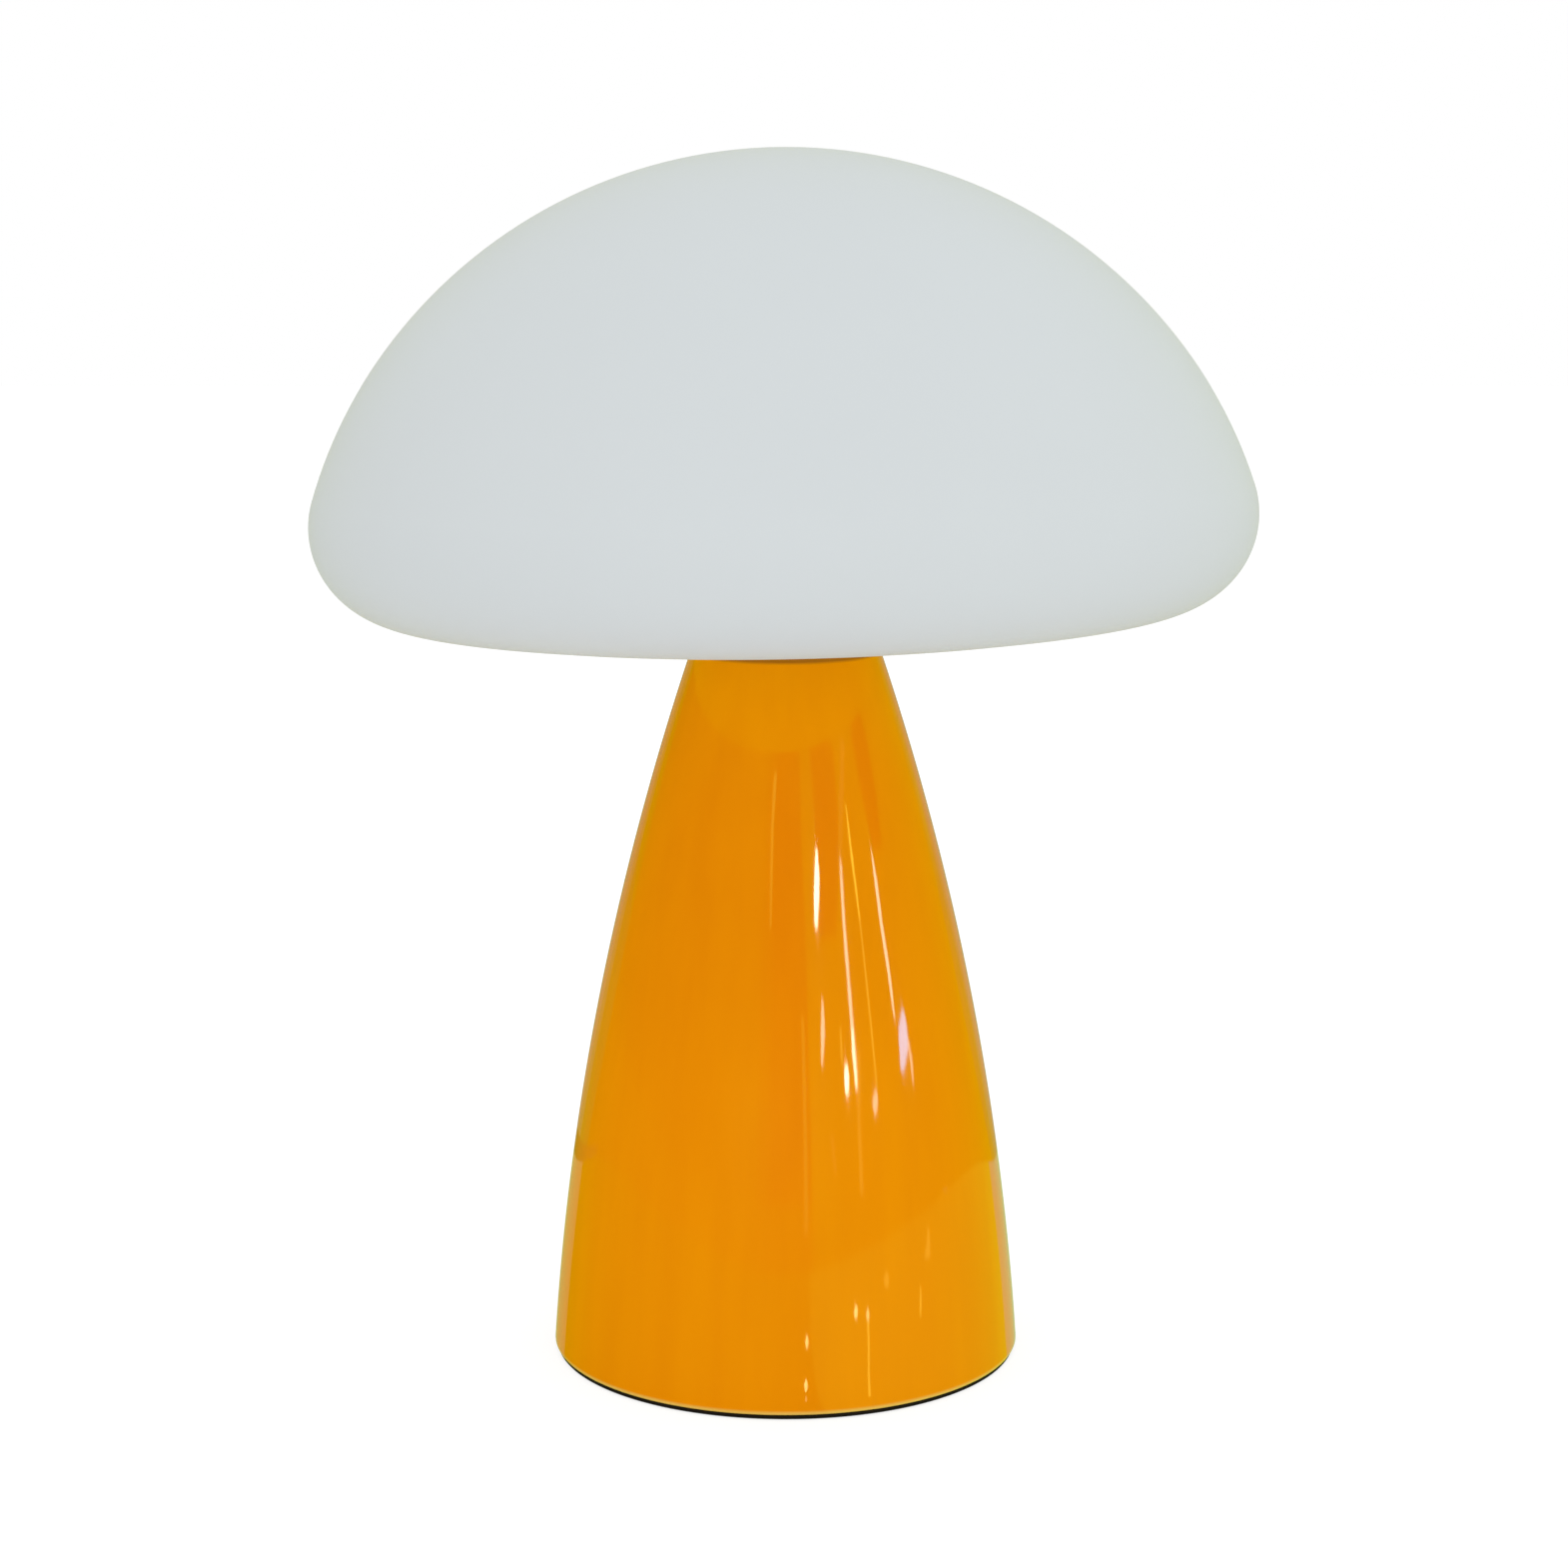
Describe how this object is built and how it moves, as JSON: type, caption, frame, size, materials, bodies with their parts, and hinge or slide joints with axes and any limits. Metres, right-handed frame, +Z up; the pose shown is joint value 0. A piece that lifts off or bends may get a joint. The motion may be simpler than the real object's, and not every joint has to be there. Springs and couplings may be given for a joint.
{
  "type": "ceramic bedside lamp",
  "caption": "Bedside lamp with a glossy tapered ceramic body, a closed opal dome shade that lifts off, and a screw-in candle bulb in a lampholder in its neck.",
  "frame": {"origin": "middle of the foot pad's underside, on the surface that the lamp stands on", "axes": "+Z up along the lamp's axis; the front faces -Y and the cord entry is at the back, +Y"},
  "size_m": [0.26, 0.26, 0.3371],
  "materials": {
    "glaze_orange": "high-gloss orange glaze",
    "opal_glass": "satin opal white, not see-through",
    "foam_black": "matte closed-cell foam",
    "steel_painted": "matte black paint",
    "steel_zinc": "zinc plated",
    "carrier_white": "satin white powder coat",
    "silicone_clear": "translucent silicone",
    "rubber_black": "matte",
    "plastic_white": "satin",
    "plastic_natural": "satin",
    "steatite": "unglazed",
    "brass": "bright",
    "insulation_brown": "satin",
    "insulation_blue": "satin",
    "solder": "dull solder",
    "black_glass": "vitreous black",
    "nickel": "nickel plated",
    "bulb_white": "gloss white",
    "bulb_opal": "satin opal polycarbonate",
    "board_green": "solder mask",
    "board_aluminium": "white solder mask",
    "phosphor": "yellow phosphor"
  },
  "bodies": {
    "lamp_base": {"foot_pad": "foam_black", "ceramic_body": "glaze_orange", "base_plate": "steel_painted", "base_washer": "steel_zinc", "base_lock_washer": "steel_zinc", "base_nut": "steel_zinc", "threaded_tube": "steel_zinc", "tube_end_bush": "plastic_white", "cord_bush": "rubber_black", "terminal_block": "plastic_natural", "terminal_inserts": "brass", "terminal_screws": "steel_zinc", "terminal_block_screw": "steel_zinc", "lead_live": "insulation_brown", "lead_neutral": "insulation_blue", "neck_gasket": "silicone_clear", "shade_gasket": "silicone_clear", "shade_carrier": "carrier_white", "carrier_washer": "steel_zinc", "carrier_nut": "steel_zinc", "holder_base": "plastic_white", "holder_grub_screw": "steel_zinc", "holder_core": "steatite", "holder_terminals": "brass", "holder_terminal_screws": "steel_zinc", "holder_rivets": "brass", "holder_centre_contact": "brass", "holder_side_contact": "brass", "holder_thread_sleeve": "brass", "holder_skirt": "plastic_white"},
    "shade": {"shade": "opal_glass"},
    "bulb_contact": {"bulb_tip": "solder", "bulb_cap_insulator": "black_glass"},
    "bulb": {"bulb_cap": "nickel", "bulb_housing": "bulb_white", "bulb_driver_board": "board_green", "bulb_led_board": "board_aluminium", "bulb_leds": "phosphor", "bulb_globe": "bulb_opal"}
  },
  "joints": [
    {"name": "shade_lift", "type": "slide", "parent": "lamp_base", "child": "shade", "axis": [0, 0, 1], "range_m": [0, 0.12]},
    {"name": "bulb_turn", "type": "hinge", "parent": "bulb_contact", "child": "bulb", "pos_m": [0, 0, 0.2161], "axis": [0, 0, 1], "range_deg": [0, 1260]},
    {"name": "bulb_rise", "type": "slide", "parent": "lamp_base", "child": "bulb_contact", "axis": [0, 0, 1], "range_m": [0, 0.00988]}
  ],
  "couplings": [
    {"joint": "bulb_rise", "follows": "bulb_turn", "m_per_rad": 0.00044913}
  ]
}
